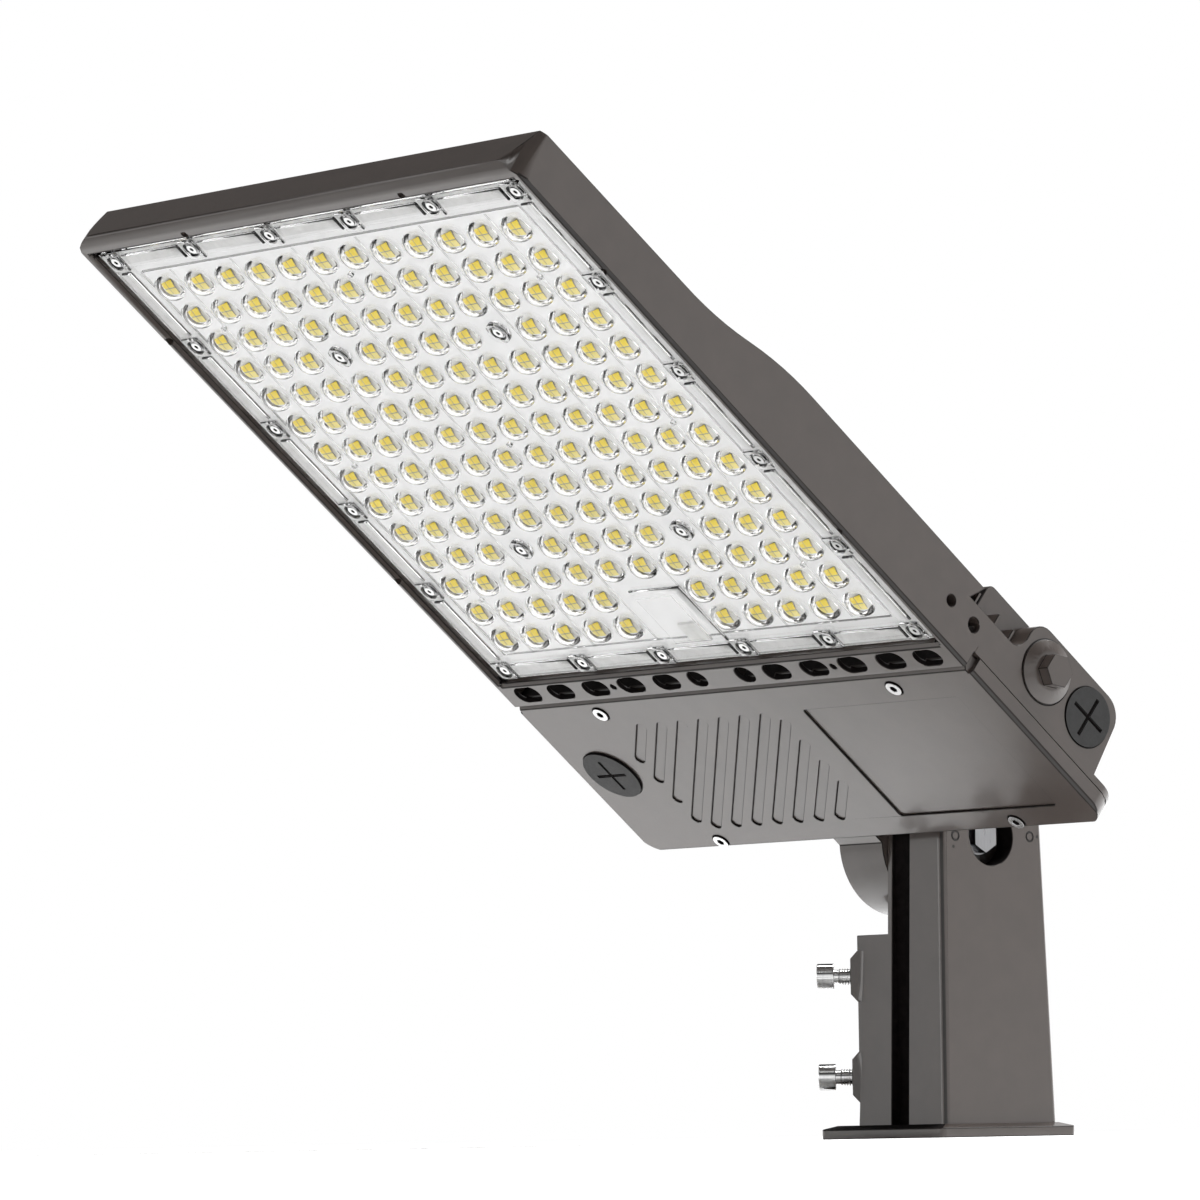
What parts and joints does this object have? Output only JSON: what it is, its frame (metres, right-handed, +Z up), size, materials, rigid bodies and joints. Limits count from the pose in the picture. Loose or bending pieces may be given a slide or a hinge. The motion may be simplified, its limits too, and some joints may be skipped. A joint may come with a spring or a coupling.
{
  "type": "shoebox area light",
  "caption": "Flat area light head with a grid of clear optics and a finned back, tilting on a slip fitter arm with a socket for a pole tenon.",
  "frame": {"origin": "centre of the mouth of the tenon socket, in the flat underside of the arm's base plate", "axes": "+Z up along the tenon axis, -Y towards the lit side that the head leans out to, X along the tilt axis"},
  "size_m": [0.4126, 0.5247, 0.5294],
  "materials": {
    "bronze_paint": "satin powder coat, fine grain",
    "clear_optic": "clear moulded plate",
    "board_white": "white solder mask",
    "led_yellow": "phosphor under a clear cap",
    "steel": "bright zinc",
    "plug_plastic": "matt moulded",
    "seal_rubber": "matt",
    "driver_case": "plain sheet",
    "lead_red": "wire insulation",
    "surge_black": "moulded box",
    "terminal_white": "moulded block"
  },
  "bodies": {
    "arm": {"arm_casting": "bronze_paint", "pivot_bolt": "steel", "pivot_washers": "steel", "pivot_nut": "steel", "pivot_seal": "seal_rubber"},
    "head": {"housing": "bronze_paint", "knuckle": "bronze_paint", "driver_cover": "bronze_paint", "knuckle_gasket": "seal_rubber", "knuckle_screws": "steel", "lens_plate": "clear_optic", "lens_gasket": "seal_rubber", "lens_screws": "steel", "centre_screws": "steel", "led_board": "board_white", "led_packages": "led_yellow", "board_connector": "terminal_white", "output_leads": "lead_red", "lead_grommet": "seal_rubber", "cover_gasket": "seal_rubber", "cover_screws": "steel", "sensor_plug": "plug_plastic", "sensor_plug_nut": "plug_plastic", "side_plugs": "plug_plastic", "plug_seals": "seal_rubber", "side_bolts": "bronze_paint", "side_bolt_nuts": "steel", "led_driver": "driver_case", "driver_screws": "steel", "surge_protector": "surge_black", "surge_clip": "steel", "terminal_block": "terminal_white", "terminal_screws": "steel", "earth_screw": "steel", "breather_vent": "plug_plastic"},
    "clamp_upper": {"clamp_screw_upper": "steel"},
    "clamp_lower": {"clamp_screw_lower": "steel"}
  },
  "joints": [
    {"name": "head_tilt", "type": "hinge", "parent": "arm", "child": "head", "pos_m": [0, 0, 0.1725], "axis": [-1, 0, 0], "range_deg": [-38.8, 51.2]},
    {"name": "clamp_upper_screw", "type": "slide", "parent": "arm", "child": "clamp_upper", "axis": [0.7071, 0.7071, 0], "range_m": [-0.01, 0.0098]},
    {"name": "clamp_lower_screw", "type": "slide", "parent": "arm", "child": "clamp_lower", "axis": [0.7071, 0.7071, 0], "range_m": [-0.01, 0.0098]}
  ]
}
